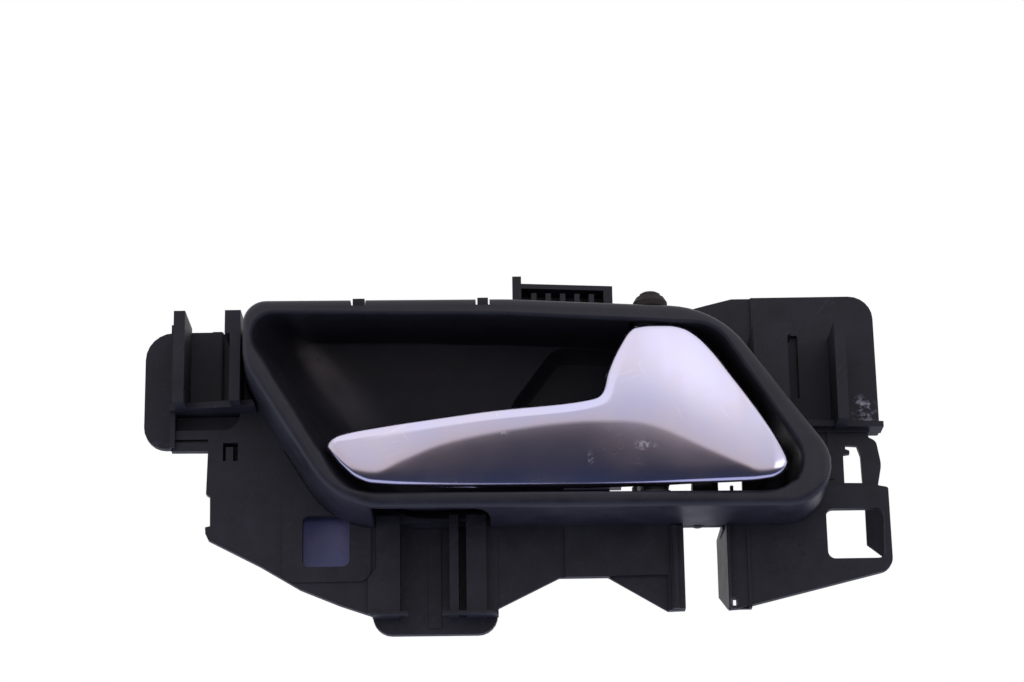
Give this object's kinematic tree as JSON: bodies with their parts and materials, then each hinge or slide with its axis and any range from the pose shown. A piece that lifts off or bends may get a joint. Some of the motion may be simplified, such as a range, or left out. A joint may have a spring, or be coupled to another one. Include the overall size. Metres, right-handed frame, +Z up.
{
  "type": "car interior door handle",
  "caption": "Inside door release for a car: a plated pull lever hinged in a black finger bowl on a moulded carrier, with a spring return and a cable arm behind.",
  "frame": {"origin": "centre of the left locating window, on the front face of the carrier's flange", "axes": "+X along the door towards the hinge end of the lever, +Y into the door, +Z up; the finger bowl faces -Y"},
  "size_m": [0.1842, 0.0472, 0.0864],
  "materials": {
    "carrier_plastic": "fine-grained black moulding",
    "bezel_plastic": "satin black moulding",
    "satin_plating": "satin plated, polished at the edge",
    "core_plastic": "black glass-filled moulding",
    "zinc_steel": "yellow zinc plated",
    "spring_steel": "zinc plated spring wire",
    "soft_rubber": "dark brown-black rubber"
  },
  "bodies": {
    "housing": {"carrier": "carrier_plastic", "bezel": "bezel_plastic", "pivot_pin": "zinc_steel", "return_spring": "spring_steel", "pin_cap": "soft_rubber", "rest_buffer": "soft_rubber", "open_buffer": "soft_rubber"},
    "lever": {"lever_cover": "satin_plating", "lever_core": "core_plastic"}
  },
  "joints": [
    {"name": "lever_hinge", "type": "hinge", "parent": "housing", "child": "lever", "pos_m": [0.0802, -0.015, 0], "axis": [0, 0, 1], "range_deg": [0, 34], "stiffness_Nm_per_rad": 0.35, "springref_deg": -20.05, "deforming": ["return_spring"]}
  ]
}
